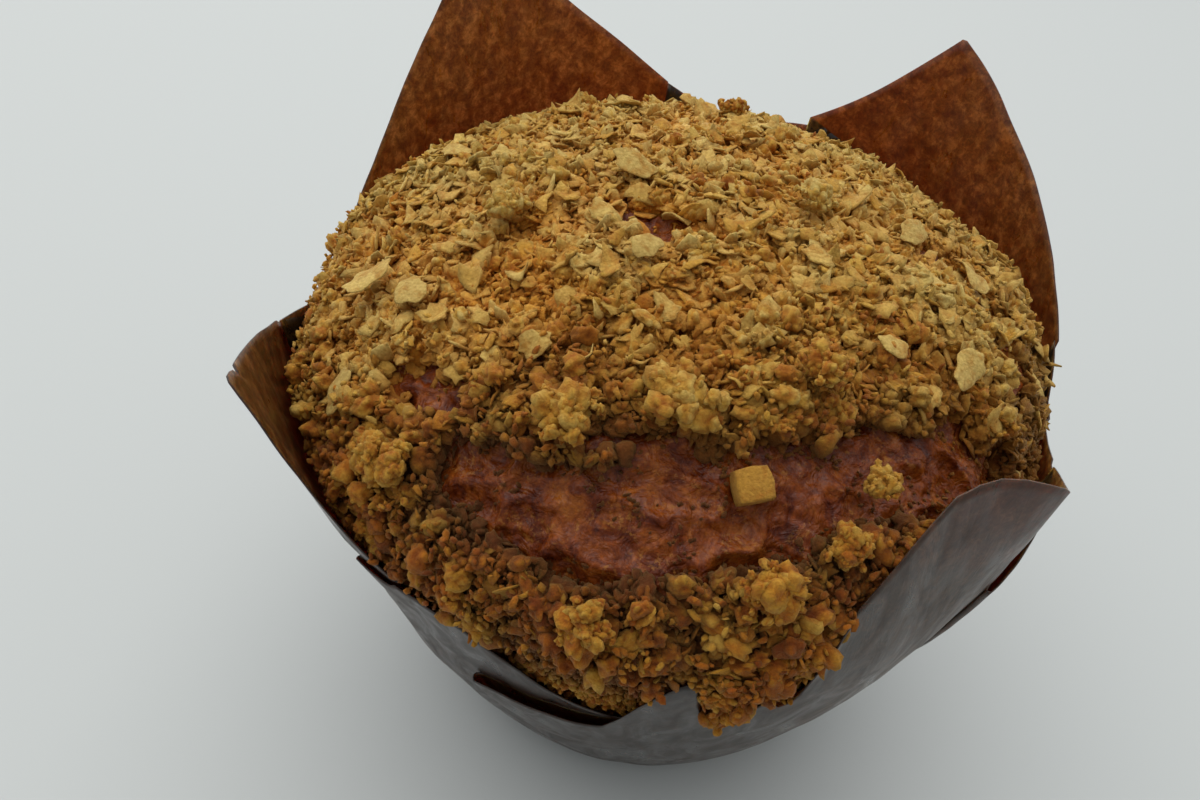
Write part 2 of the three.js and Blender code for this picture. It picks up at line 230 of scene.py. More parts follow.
def on_dome(azimuth, polar, lift=0.0):
    """Points on the smooth dome, raised by lift along its normal, and the normals."""
    azimuth, polar = np.broadcast_arrays(np.asarray(azimuth, float), np.asarray(polar, float))
    radius, p, a = crust_radius(azimuth), np.radians(polar), np.radians(azimuth)
    outward = np.sin(p) / radius
    normal = unit(np.stack([outward * np.cos(a), outward * np.sin(a), np.cos(p) / CRUST_RISE], -1))
    points = placed(azimuth, radius * np.sin(p), DOME_CENTRE + CRUST_RISE * np.cos(p))
    dent = DENT * np.exp(-((turn(DENT_AZIMUTH, azimuth) / DENT_WIDTH) ** 2)) * smooth(polar, 52, 76)
    return points + normal * (np.asarray(lift) - dent)[..., None], normal


def dome_height(points):
    """How far points lie above the smooth dome."""
    x, y, z = (points - DOME_MIDDLE).T
    radius = crust_radius(np.degrees(np.arctan2(y, x)))
    share = np.sqrt((x * x + y * y) / radius**2 + z * z / CRUST_RISE**2)
    steep = np.sqrt((x * x + y * y) / radius**4 + z * z / CRUST_RISE**4)
    return (share - 1) * share / steep


# ---- meshes and materials ----
def mesh_object(name, points, faces, tint=None):
    """points in millimetres and faces all of one size, as a smooth-shaded object on the root body."""
    mesh = bpy.data.meshes.new(name)
    count, sides = faces.shape
    mesh.vertices.add(len(points))
    mesh.vertices.foreach_set("co", np.asarray(points * MM, np.float32).ravel())
    mesh.loops.add(count * sides)
    mesh.loops.foreach_set("vertex_index", faces.astype(np.int32).ravel())
    mesh.polygons.add(count)
    mesh.polygons.foreach_set("loop_start", np.arange(0, count * sides, sides, dtype=np.int32))
    mesh.polygons.foreach_set("use_smooth", np.full(count, True))
    mesh.update(calc_edges=True)
    mesh.validate()
    if tint is not None:
        layer = mesh.attributes.new("tint", "FLOAT_COLOR", "POINT")
        layer.data.foreach_set("color", np.asarray(tint, np.float32).ravel())
    obj = bpy.data.objects.new(name, mesh)
    bpy.context.scene.collection.objects.link(obj)
    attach(obj, "root")
    return obj


class Material:
    """A node material built by short calls. Lengths given to its textures are in millimetres."""

    def __init__(self, name):
        self.material = bpy.data.materials.new(name)
        self.material.use_nodes = True
        self.tree = self.material.node_tree
        self.shader = self.tree.nodes["Principled BSDF"]
        self.place = self.node("ShaderNodeTexCoord").outputs["Object"]

    def node(self, kind, **settings):
        made = self.tree.nodes.new(kind)
        for key, value in settings.items():
            if key in made.inputs:
                self.feed(made.inputs[key], value)
            else:
                setattr(made, key, value)
        return made

    def feed(self, socket, value):
        if isinstance(value, bpy.types.NodeSocket):
            self.tree.links.new(value, socket)
        else:
            socket.default_value = value

    def noise(self, size, detail=4.0, roughness=0.55, distortion=0.0, stretch=None):
        place = self.place
        if stretch:
            place = self.node("ShaderNodeMapping", Vector=place, Scale=stretch).outputs[0]
        settings = dict(Scale=1 / (size * MM), Detail=detail, Roughness=roughness, Distortion=distortion)
        return self.node("ShaderNodeTexNoise", Vector=place, **settings).outputs["Fac"]

    def ramp(self, value, stops):
        made = self.node("ShaderNodeValToRGB", Fac=value)
        points = made.color_ramp.elements
        while len(points) < len(stops):
            points.new(0.5)
        for point, (at, colour) in zip(points, stops):
            point.position = at
            colour = (colour,) * 3 if np.isscalar(colour) else colour
            point.color = (*colour, 1)
        return made.outputs["Color"]

    def mix(self, share, first, second, how="MIX"):
        made = self.tree.nodes.new("ShaderNodeMix")
        made.data_type, made.blend_type = "RGBA", how
        self.feed(made.inputs[0], share)
        for socket, value in zip(made.inputs[6:8], (first, second)):  # A and B as colours
            self.feed(socket, value if isinstance(value, bpy.types.NodeSocket) else (*value, 1))
        return made.outputs[2]

    def multiply(self, first, second):
        return self.mix(1.0, first, second, "MULTIPLY")

    def tint(self):
        return self.node("ShaderNodeAttribute", attribute_name="tint").outputs["Color"]

    def bump(self, value, height, strength=1.0, under=None):
        made = self.node("ShaderNodeBump", Height=value, Distance=height * MM, Strength=strength)
        if under is not None:
            self.feed(made.inputs["Normal"], under)
        return made.outputs["Normal"]

    def finish(self, **inputs):
        for name, value in inputs.items():
            self.feed(self.shader.inputs[name.replace("_", " ")], value)
        return self.material


def crumble_material():
    m = Material("crumble")
    toast = [(0.36, (0.8, 0.6, 0.38)), (0.52, 1), (0.7, (1.08, 1.1, 1.04))]
    grain = [(0.35, (0.78, 0.72, 0.62)), (0.6, 1), (0.75, 1.15)]
    colour = m.multiply(m.tint(), m.ramp(m.noise(1.3, 5, 0.65, 0.5), toast))
    colour = m.multiply(colour, m.ramp(m.noise(0.3, 3), grain))
    return m.finish(
        Base_Color=colour,
        Roughness=0.6,
        Normal=m.bump(m.noise(0.34, 4, 0.75), 0.26),
        Specular_IOR_Level=0.14,
        Sheen_Weight=0.22,
        Sheen_Roughness=0.6,
        Sheen_Tint=(1.0, 0.72, 0.3, 1),
    )


def crust_material():
    m = Material("crust")
    browns = [(0.34, (0.07, 0.009, 0.002)), (0.45, (0.155, 0.028, 0.004))]
    browns += [(0.56, (0.25, 0.057, 0.007)), (0.68, (0.37, 0.11, 0.016))]
    specks = [(0.35, (0.66, 0.58, 0.52)), (0.55, 1), (0.72, (1.3, 1.22, 1.15))]
    colour = m.multiply(m.ramp(m.noise(2.6, 6, 0.7, 0.8), browns), m.ramp(m.noise(0.5, 4, 0.65), specks))
    dust = m.ramp(m.noise(0.42, 4, 0.7), [(0.5, 0), (0.6, 1)])
    dust = m.multiply(dust, m.ramp(m.noise(2.2, 4, 0.7, 0.8), [(0.5, 0.0), (0.66, 0.8)]))
    glaze = m.ramp(m.noise(1.1, 3), [(0.38, 0.1), (0.6, 0.32)])
    return m.finish(
        Base_Color=m.mix(dust, colour, (0.42, 0.17, 0.03)),
        Roughness=m.mix(dust, glaze, (0.7, 0.7, 0.7)),
        Normal=m.bump(m.noise(1.6, 5, 0.55, 1.0), 0.6),
        Specular_IOR_Level=0.27,
    )


def parchment_material(name, shades, gloss):
    m = Material(name)
    fibres = [(0.35, (0.72, 0.68, 0.62)), (0.7, (1.3, 1.28, 1.2))]
    colour = m.ramp(m.noise(1.5, 6, 0.7, 0.3), list(zip((0.36, 0.5, 0.64), shades)))
    colour = m.multiply(colour, m.tint())
    colour = m.multiply(colour, m.ramp(m.noise(0.8, 4, 0.6, 1.5), fibres))
    streaks = m.noise(1.6, 4, 0.6, 0.6, stretch=(1, 1, 0.25))
    smears = m.noise(3, 4, 0.6, 0.8, stretch=(1, 1, 0.4))
    return m.finish(
        Base_Color=colour,
        Roughness=m.ramp(smears, [(0.35, 0.27), (0.65, 0.55)]),
        Normal=m.bump(streaks, 0.13, 0.6, m.bump(m.noise(0.5, 3), 0.03, 0.4)),
        Specular_IOR_Level=gloss,
        Subsurface_Weight=0.7,
        Subsurface_Radius=(1, 0.5, 0.25),
        Subsurface_Scale=0.6 * MM,
    )


CRUMBLE = crumble_material()
CRUST = crust_material()
INSIDE_SHADES = [(0.09, 0.039, 0.0085), (0.17, 0.086, 0.018), (0.33, 0.2, 0.055)]
# The outside is a darker, greyer copy of the inside's parchment colour, as painted shade.
OUTSIDE_PAINTED_SHADES = [(0.034, 0.018, 0.01), (0.052, 0.027, 0.014), (0.085, 0.044, 0.023)]
PARCHMENT = parchment_material("parchment_inside", INSIDE_SHADES, 0.32)
PARCHMENT_OUTSIDE = parchment_material("parchment_outside", OUTSIDE_PAINTED_SHADES, 0.6)


def dress(obj, material, slot, *nodes):
    obj.data.materials.append(material)
    if nodes:
        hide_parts(*nodes)


# ---- the parchment cup ----
SHEET = 0.14  # the parchment's thickness
COLUMN_STEP = 0.75
ROWS = 54
FOLD_START, FOLD_FULL = 9.0, 40.0  # heights between which the folds open out
LAYER = 0.2  # how far a fold's layers lie in and out from the sheet beside them
RIM_RADIUS = 39
DEGREES = 57.3  # in a radian
NOTCH_AZIMUTH = 222.6  # a small tear in the front left petal's tip

# Z-folds, each between two azimuths at the rim. The outer layer's edge stands off the one behind it by gap.
FLAP_EDGE = [(250, 31.8), (256, 33.0), (262, 33.3), (268, 33.6), (272, 34.3), (274, 37.6), (276, 42)]
FLAP_EDGE += [(278, 44.9), (279.5, 46.6), (281, 47.2), (282, 46.8), (283, 43.6), (284, 40.4), (286, 38.9)]
FLAP_EDGE += [(azimuth, height) for azimuth, height, _ in FRONT_RIGHT[:-1]]
RIGHT_EDGE = [(327, 46.2), (334, 46.5), (342, 47.4), (350, 48.7), (353, 48.5)]
FOLDS = [
    dict(left=3, right=12, edge=[(3, 48.2), (12, 49.8)], gap=0.3),
    dict(left=66, right=77, edge=[(66, 56.2), (77, 57.4), (80, 57.2), (85, 56.6)], gap=0.3),
    dict(left=96, right=105, edge=[(96, 56.2), (105, 56.9)], gap=0.3),
    dict(left=170, right=182, edge=[(170, 48.2), (182, 48.6)], gap=0.4),
    dict(left=194, right=203, edge=[(194, 48.4), (203, 52.6)], gap=0.4),
    dict(left=236, right=243, edge=[(236, 44.0), (243, 44.5)], gap=0.3),
    dict(left=250, right=280.5, edge=FLAP_EDGE, gap=0.9),
    dict(left=327, right=350, edge=RIGHT_EDGE, gap=0.4),
]


def run(start, end, offsets, base=None, tops=None, stand=np.zeros_like):
    """A stretch of the sheet as columns: azimuth at rim and base, offset, how far it stands off, height."""
    count = max(3, int(abs(end - start) / COLUMN_STEP))
    share = np.linspace(0, 1, count, endpoint=False)
    azimuth = start + (end - start) * share
    low, high = base or (start, end)
    offset = offsets[0] + (offsets[1] - offsets[0]) * share
    top = tops(share, azimuth) if tops else sheet_top(azimuth)
    return np.stack([azimuth, low + (high - low) * share, offset, stand(share), top], 1)


def fold_columns(left, right, edge, gap):
    """A Z-fold's columns: on to its right side, back behind to its left, and on again over itself."""
    stops = np.array(edge, float)
    third = (right - left) / 3

    def edge_outside(_, azimuth):
        return np.interp(azimuth, stops[:, 0], stops[:, 1])

    def edge_between(share, _):
        return inside + (outside - inside) * share

    def open_at_left(share):
        return gap * (1 - share**3)

    inside, outside = float(sheet_top(right)), float(edge_outside(0, left))
    columns = [run(left, right, (0.0, -LAYER), (left, left + third))]
    columns.append(run(right, left, (-LAYER, 0.0), (left + third, left + 2 * third), edge_between))
    for turned in (0.25, 0.5, 0.75):
        bulge = gap * 0.45 * np.sin(np.pi * turned) * DEGREES / RIM_RADIUS
        columns.append(np.array([[left - bulge, left + 2 * third, LAYER * turned, gap * turned, outside]]))
    columns.append(run(left, right, (LAYER, LAYER), (left + 2 * third, right), edge_outside, open_at_left))
    if stops[-1, 0] > right:
        columns.append(run(right, stops[-1, 0], (LAYER, 0.0), None, edge_outside))
    return columns


def cup_columns():
    """The whole sheet's columns, from left to right as seen from outside."""
    columns = []
    at, out = FOLDS[-1]["edge"][-1][0] - 360, 0.0
    for fold in FOLDS:
        columns.append(run(at, fold["left"], (out, 0.0)))
        columns += fold_columns(**fold)
        right, last = fold["right"], fold["edge"][-1][0]
        at, out = max(right, last), 0.0 if last > right else LAYER
    return np.concatenate(columns)


def cup_bottom(azimuth):
    """Rings over the flat bottom and round its edge."""
    level = 0.1 + 0 * azimuth
    rings = [placed(azimuth, radius, level) for radius in (8.0, 16.0, 22.0)]
    for slope in np.radians([0, 22, 45, 67]):
        radius = BASE_RADIUS - BASE_ROUND * (1 - np.sin(slope)) - 0.25
        rings.append(placed(azimuth, radius, level + BASE_ROUND * (1 - np.cos(slope))))
    return rings


def cup_ring(columns, share):
    """A ring round the wall, that share of the way up to the sheet's edge."""
    rim_azimuth, base_azimuth, offset, stand, top = columns.T
    height = BASE_ROUND + (top - BASE_ROUND) * share
    opened = smooth(height, FOLD_START - 8, FOLD_FULL)
    azimuth = base_azimuth + turn(base_azimuth, rim_azimuth) * opened
    radius = sheet_radius(azimuth, height) - 0.15
    radius += (offset + stand * smooth(height, 20, 32)) * smooth(height, FOLD_START, 24)
    points = placed(azimuth, radius, height)
    crumple = fractal(points, 9, 3, 5) * 0.18 * smooth(height, 1, 20)
    crumple += noise(points * [1, 1, 0.2], 3.2, 9) * 0.1
    crumple += fractal(points, 22, 2, 31) * 0.9 * smooth(height, 50, 68)
    return placed(azimuth, radius + crumple, height)


def parchment_tint(azimuth):
    """What the parchment is multiplied by: darker at the front left petal and round the front, which is
    painted shade, and darker and redder in two petals.
    """
    left = facing(azimuth, 226, 0.6, 0.95)
    # Painted shade at the front left petal and round the front.
    painted_shade_share = np.maximum(0.36 * left, 0.55 * facing(azimuth, 268, 0.72, 0.97))
    red = facing(azimuth, 56, 0.3, 0.9) + left
    return (1 - painted_shade_share)[:, None] * (1 - red[:, None] * [0.18, 0.36, 0.42])


def ring_corners(rings, across):
    """The corners of each face between two rings of points, by their numbers."""
    i, j = np.meshgrid(np.arange(rings - 1), np.arange(across), indexing="ij")
    k = (j + 1) % across
    return i * across + j, i * across + k, (i + 1) * across + k, (i + 1) * across + j


def fan(tip, first, second):
    return np.stack([np.full(len(first), tip), first, second], -1)


def cup():
    columns = cup_columns()
    azimuth, top = columns[:, 0], columns[:, 4]
    notch = np.exp(-((turn(NOTCH_AZIMUTH, azimuth) / 0.5) ** 2)) * 0.9
    columns[:, 4] = top - notch + 0.12 * np.sin(azimuth * 0.35) * np.sin(azimuth * 0.11)
    wall = [cup_ring(columns, share) for share in np.linspace(0, 1, ROWS)]
    grid = np.stack(cup_bottom(columns[:, 1]) + wall)
    rows, across = grid.shape[:2]
    points = np.concatenate([grid.reshape(-1, 3), [[0, 0, 0.1]]])
    quads = np.stack(ring_corners(rows, across), -1).reshape(-1, 4)
    first = np.arange(across)
    middle = fan(rows * across, (first + 1) % across, first)
    triangles = np.concatenate([quads[:, [0, 1, 2]], quads[:, [0, 2, 3]], middle])
    tint = np.ones((len(points), 4))
    tint[:-1, :3] = np.tile(parchment_tint(azimuth), (rows, 1))
    obj = mesh_object("parchment_cup", points, triangles, tint)
    thick = obj.modifiers.new("thickness", "SOLIDIFY")
    thick.thickness, thick.offset = SHEET * MM, 0
    thick.material_offset = 1
    return obj


# ---- the cake ----
def dome_grid(across, polars):
    azimuth = np.linspace(0, 360, across, endpoint=False)
    return np.meshgrid(azimuth, polars)


def closed_rings(grid, first_point, last_point):
    """Rings of points from top to bottom, closed by a point at each end, as points and triangles."""
    rings, across = grid.shape[:2]
    points = np.concatenate([grid.reshape(-1, 3), [first_point, last_point]])
    a, b, c, d = ring_corners(rings, across)
    walls = np.concatenate([np.stack([a, d, c], -1).reshape(-1, 3), np.stack([a, c, b], -1).reshape(-1, 3)])
    first = np.arange(across)
    end = (rings - 1) * across
    caps = [
        fan(rings * across, first, (first + 1) % across),
        fan(rings * across + 1, end + (first + 1) % across, end + first),
    ]
    return points, np.concatenate([walls, *caps])


def crust_height(azimuth, polar):
    """How far the crust rises above the smooth dome."""
    points, _ = on_dome(azimuth, polar)
    flat = points.reshape(-1, 3)
    lumps = fractal(flat, 9, 3, 3) * 0.5
    folds = (1 - np.abs(noise(flat, 3.2, 11))) ** 3 * 0.95 + (1 - np.abs(noise(flat, 1.4, 12))) ** 2 * 0.4
    grain = fractal(flat, 0.8, 2, 14) * 0.12
    return (lumps + folds + grain - 0.7).reshape(np.shape(azimuth))


def cake():
    azimuth, polar = dome_grid(560, np.linspace(1.2, 96, 150))
    dome, _ = on_dome(azimuth, polar, crust_height(azimuth, polar))
    across = azimuth[:1]
    rings = [dome]
    for level in (41.0, 34.0, 26.0, 18.0, 10.0, 4.0, 1.6):
        room = 0.85 + 1.7 * smooth(level, 30, 40)  # crumbs fill it where the paper's edge is low
        rings.append(placed(across, wall_radius(across, level) - room, np.full(across.shape, level)))
    rings.append(placed(across, BASE_RADIUS - BASE_ROUND - 1.0, np.full(across.shape, 0.5)))
    apex, _ = on_dome(0, 0, crust_height(np.zeros(1), np.zeros(1))[0])
    foot = [MOUTH_SHIFT * 0.2, 0, 0.5]
    return mesh_object("cake_crust", *closed_rings(np.concatenate(rings), apex, foot))


# ---- where crumble lies, and its colours ----
# Where none stuck: strokes over the dome, as azimuths, polar angles and half widths.
FRONT_BAND = [(243, 61, 1.2), (249, 62.5, 2.6), (256, 62.5, 3.4), (263, 61, 3.8), (271, 57.5, 4.2)]
FRONT_BAND += [(279, 55, 4.3), (288, 53.5, 4.1), (298, 52, 3.9), (307, 51.5, 3.5), (316, 56, 4.0)]
FRONT_BAND += [(324, 61, 4.2), (331, 66, 3.0)]
BARE = [
    FRONT_BAND,
    [(227, 59, 0.6), (231, 56, 1.3), (237, 55, 1.4), (242, 53, 0.5)],
    [(200, 13.5, 0.6), (222, 13, 1.5), (244, 12, 1.6), (262, 11, 0.8)],
    [(8, 35, 0.4), (3, 42, 1.2), (358, 49, 1.7), (352, 56, 2.0), (345, 61, 1.6)],
    [(268, 47, 0.4), (262, 50, 0.6)],
]
BARE_EDGE = -0.1  # crumbs lie on the crust itself where the bareness is below this


def bareness(azimuth, polar):
    """Distance in millimetres outside the nearest bare patch, and below 0 inside one."""
    points, _ = on_dome(azimuth, polar)
    flat = points.reshape(-1, 3)
    least = np.full(len(flat), 99.0)
    for stroke in BARE:
        stops = np.array(stroke, float)
        knots, _ = on_dome(stops[:, 0], stops[:, 1])
        for start, end, wide, narrow in zip(knots[:-1], knots[1:], stops[:-1, 2], stops[1:, 2]):
            along = end - start
            share = ((flat - start) @ along / (along @ along)).clip(0, 1)
            distance = np.linalg.norm(flat - start - share[:, None] * along, axis=1)
            least = np.minimum(least, distance - (wide + (narrow - wide) * share))
    ragged = 1.3 * noise(flat, 3.5, 41) + 1.0 * noise(flat, 1.6, 42)
    return (least + ragged).reshape(np.shape(azimuth))


def bed_height(azimuth, polar):
    """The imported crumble's top above the smooth dome, which dips under the crust where the crust is bare."""
    points, _ = on_dome(azimuth, polar)
    flat = points.reshape(-1, 3)
    height = 0.7 + 0.55 * noise(flat, 8, 51) + 0.75 * noise(flat, 4.2, 52)
    for size, rise, seed in ((2.6, 0.9, 61), (1.3, 0.55, 71), (0.75, 0.22, 81)):
        near, own = cells(flat, size, seed)
        height += rise * (np.sqrt((1 - (near / 0.75) ** 2).clip(0)) * (0.35 + 0.65 * own) - 0.35)
    height = height.reshape(np.shape(azimuth))
    cover = smooth(bareness(azimuth, polar), -0.2, 1.3)
    return cover * height - (1 - cover) * 1.6


def scattered(count, lowest=96.0):
    """Azimuths and polar angles spread evenly over the dome's surface."""
    polar = np.linspace(0, lowest, 400)
    p = np.radians(polar)
    ring = np.sin(p) * np.hypot(DOME_RADIUS * np.cos(p), CRUST_RISE * np.sin(p))
    area = np.concatenate([[0], np.cumsum((ring[1:] + ring[:-1]) / 2)])
    where = (np.arange(count) + rng.uniform(-0.5, 0.5, count) + 0.5) / count
    azimuth = np.arange(count) * 137.50776 + rng.normal(size=count) * 1.5
    return azimuth % 360, np.interp(where.clip(0, 1), area / area[-1], polar)


def coarseness(azimuth, polar):
    """0 where the crumble is fine and flaky, at the back and top, and 1 where it's in coarse clumps."""
    low = 13 + 37 * smooth(turn(azimuth, 262), 10, 45)
    return facing(azimuth, 262, -0.1, 0.7) * smooth(polar, low, low + 40)


def browned_and_shaded(azimuth, polar):
    """How much darker and browner the crumble is made, where it's coarse and round the right of the dome:
    partly toasting and partly painted shade.
    """
    right = 0.85 * facing(azimuth, 12, -0.1, 0.7) * smooth(polar, 28, 68)
    return np.maximum(coarseness(azimuth, polar), right)


def paper_top(azimuth):
    """The height of the paper's edge, or of the outer layer of the fold in front where that's higher."""
    flap = np.array(FLAP_EDGE, float)
    folded = np.interp(azimuth, flap[:, 0], flap[:, 1], left=0, right=0)
    return np.maximum(sheet_top(azimuth), folded)


def kept_inside(points, reach):
    """The points, moved in until what reaches that far round them stays inside the parchment."""
    x, y, z = points.T
    below = (1 - z / SHIFT_HEIGHT).clip(0)
    x = x - MOUTH_SHIFT * (1 - below * below)
    azimuth = np.degrees(np.arctan2(y, x)) % 360
    top = paper_top(azimuth)
    room = sheet_radius(azimuth, np.minimum(z, top)) - PAPER_ROOM - 1.3 * reach
    free = smooth(z, top, top + 1.8) * 8
    return placed(azimuth, np.minimum(np.hypot(x, y), room + free), z)


SHADES = np.array([(0.7, 0.51, 0.16), (0.66, 0.395, 0.064), (0.52, 0.187, 0.015), (0.24, 0.055, 0.004)])
OAT = np.array([0.74, 0.51, 0.15, 1])  # a rolled oat that the butter hasn't reached
GOLDEN = np.array([0.84, 0.64, 0.3, 1])  # what its colour is multiplied by where the butter has
BROWNED_AND_SHADED = np.array([0.8, 0.64, 0.36, 1])  # what the crumble's colour is multiplied by where it's toasted and shaded: partly toasting, partly painted shade
# Crumble that lies deep is painted: a bright orange where it's fine, painted light standing for light that
# passes through the crumbs, and near black where it's toasted and shaded, a painted shade.
DEEP_PAINTED_GLOW = np.array([0.76, 0.3, 0.025, 1])
DEEP_PAINTED_SHADE = np.array([0.09, 0.02, 0.003, 1])


def patchy(points):
    """How much more or less toasted the crumble is from place to place."""
    return 0.4 * noise(points, 3.4, 101) + 0.2 * noise(points, 1.3, 102)


def toasted(level):
    """Colours from pale oat through gold and amber to dark toast, for levels from 0 to 1."""
    level = level.clip(0, 1) * (len(SHADES) - 1)
    low = np.minimum(level.astype(int), len(SHADES) - 2)
    share = (level - low)[:, None]
    colour = SHADES[low] * (1 - share) + SHADES[low + 1] * share
    return np.concatenate([colour, np.ones((len(level), 1))], 1)


def crumb_tint(count, toast, spread=0.14):
    """A colour for each crumb, each a little more or less toasted, and lighter or darker, than the last."""
    colour = toasted(toast + spread * rng.normal(size=count))
    colour[:, :3] *= (1 + 0.11 * rng.normal(size=count)).clip(0.7, 1.25)[:, None]
    return colour


def crumb_object(name, points, faces, tints):
    """Crumble as an object, darker and browner where it's toasted and shaded, and painted where it lies deep:
    painted light where it's fine, painted shade where it's toasted and shaded.
    """
    x, y, z = (points - DOME_MIDDLE).T
    azimuth = np.degrees(np.arctan2(y, x))
    polar = np.degrees(np.arctan2(np.hypot(x, y) / DOME_RADIUS, z / CRUST_RISE))
    coarse, brown_and_shade = coarseness(azimuth, polar)[:, None], browned_and_shaded(azimuth, polar)[:, None]
    deep = (0.8 + 0.15 * coarse) * (1 - smooth(dome_height(points), 0.5, 3.0))[:, None]
    deep_tint = DEEP_PAINTED_GLOW * (1 - brown_and_shade) + DEEP_PAINTED_SHADE * brown_and_shade
    tints = tints * (1 - brown_and_shade * (1 - BROWNED_AND_SHADED))
    return mesh_object(name, points, faces, tints * (1 - deep) + deep_tint * deep)


def crumble_bed():
    azimuth, polar = dome_grid(570, np.linspace(1.0, 97, 140))
    height = bed_height(azimuth, polar)
    dome, _ = on_dome(azimuth, polar, height)
    dome = kept_inside(dome.reshape(-1, 3), 0).reshape(dome.shape)
    apex, _ = on_dome(0, 0, bed_height(np.zeros(1), np.zeros(1))[0])
    points, faces = closed_rings(dome, apex, [MOUTH_SHIFT, 0, DOME_CENTRE - 3])
    raised = np.concatenate([smooth(height, 0.4, 2.2).ravel(), [0.5, 0.0]])
    # Painted shade: the bed's low parts are darker than its raised ones.
    tints = crumb_tint(len(points), 0.9 - 0.5 * raised, 0.03)
    return crumb_object("crumble_bed", points, faces, tints)


# ---- crumbs: each maker returns points, faces and colours ----
def arrays(shape):
    points = np.array([v.co[:] for v in shape.verts])
    faces = np.array([[v.index for v in f.verts] for f in shape.faces])
    shape.free()
    return points, faces


def ball(subdivisions):
    shape = bmesh.new()
    bmesh.ops.create_icosphere(shape, subdivisions=subdivisions, radius=1)
    return arrays(shape)


def random_turns(count):
    w, x, y, z = unit(rng.normal(size=(count, 4))).T
    rows = [
        [1 - 2 * (y * y + z * z), 2 * (x * y - z * w), 2 * (x * z + y * w)],
        [2 * (x * y + z * w), 1 - 2 * (x * x + z * z), 2 * (y * z - x * w)],
        [2 * (x * z - y * w), 2 * (y * z + x * w), 1 - 2 * (x * x + y * y)],
    ]
    return np.moveaxis(np.array(rows), 2, 0)


def copies(shaped, faces, tints):
    """All the copies as one mesh, given colours for each copy or for each of its points."""
    count, size = shaped.shape[:2]
    faces = (faces[None] + size * np.arange(count)[:, None, None]).reshape(-1, 3)
    return shaped.reshape(-1, 3), faces, np.repeat(tints, count * size // len(tints), axis=0)


def joined(parts):
    points, faces, tints = zip(*parts)
    starts = np.cumsum([0] + [len(p) for p in points[:-1]])
    faces = [face + start for face, start in zip(faces, starts)]
    return np.concatenate(points), np.concatenate(faces), np.concatenate(tints)


def chips_mesh(centres, radii, tints):
    """A broken, many-sided chip at each centre."""
    points, faces = ball(1)
    count = len(centres)
    sides = unit(rng.normal(size=(count, 8, 3)))
    depths = rng.uniform(0.45, 1.0, (count, 8, 1))
    near = np.einsum("nwk,vk->nwv", sides, points).clip(0) / depths
    reach = ((near**6).sum(1).clip(1e-9) ** (-1 / 6)).clip(0.4, 1.2)
    reach = reach * (1 + 0.15 * rng.normal(size=(count, len(points))))
    stretch = rng.uniform([0.4, 0.65, 0.85], [0.95, 1.05, 1.9], (count, 3))[:, None]
    shaped = points[None] * reach[..., None] * stretch
    shaped = np.einsum("nvk,njk->nvj", shaped, random_turns(count)) * np.reshape(radii, (-1, 1, 1))
    return copies(shaped + centres[:, None], faces, tints)


def lumps_mesh(centres, radii, toast, subdivisions):
    """A knobbly baked lump at each centre, painted paler on its knobs and darker in its creases: painted
    highlight and painted shade.
    """
    points, faces = ball(subdivisions)
    count = len(centres)
    own = (points[None] + rng.uniform(-300, 300, (count, 1, 3))).reshape(-1, 3)
    knobs = (np.abs(noise(own, 0.8, 121)) + 0.5 * np.abs(noise(own, 0.4, 122))).reshape(count, -1)
    reach = (0.62 + 0.25 * noise(own, 1.6, 123)).reshape(count, -1) + 0.75 * knobs
    stretch = rng.uniform([0.6, 0.75, 0.85], [1.0, 1.1, 1.3], (count, 3))[:, None]
    shaped = np.einsum("nvk,njk->nvj", points[None] * reach[..., None] * stretch, random_turns(count))
    shaped = shaped * np.reshape(radii, (-1, 1, 1)) + centres[:, None]
    # Painted highlight and shade: paler where the knobs stand out, darker in the creases.
    level = np.reshape(toast, (-1, 1)) + 0.65 * (0.45 - knobs)
    return copies(shaped, faces, toasted(level.ravel()))


def plate(segments):
    """A round two-faced plate of radius 1: flat points, which side each is on, and triangles facing out."""
    turns = np.linspace(0, 2 * np.pi, segments, endpoint=False)
    ring = np.stack([np.cos(turns), np.sin(turns)], 1)
    half = segments // 2
    flat = np.concatenate([[[0, 0]], 0.55 * ring[::2], ring])
    one = []
    for n in range(half):
        a, b = 1 + n, 1 + (n + 1) % half
        outer = [1 + half + (2 * n + k) % segments for k in range(3)]
        one += [(0, a, b), (a, outer[0], outer[1]), (a, outer[1], b), (b, outer[1], outer[2])]
    one = np.array(one)
    size = len(flat)
    edge = []
    for n in range(segments):
        a, b = 1 + half + n, 1 + half + (n + 1) % segments
        edge += [(a, a + size, b), (b, a + size, b + size)]
    faces = np.concatenate([one, one[:, ::-1] + size, np.array(edge)])
    return np.concatenate([flat, flat]), np.repeat([1.0, -1.0], size), faces


# Kinds of flake. Their widths are shares of their lengths.
CHIPPED = dict(thin=0.17, segments=8, ragged=1.02, curl=0.2, widths=(0.45, 0.9))
LARGE = dict(thin=0.12, segments=16, ragged=0.7, curl=0.3, widths=(0.58, 0.8))
SINGLE = dict(thin=0.11, segments=28, ragged=0.5, curl=0.15, widths=(0.58, 0.8))


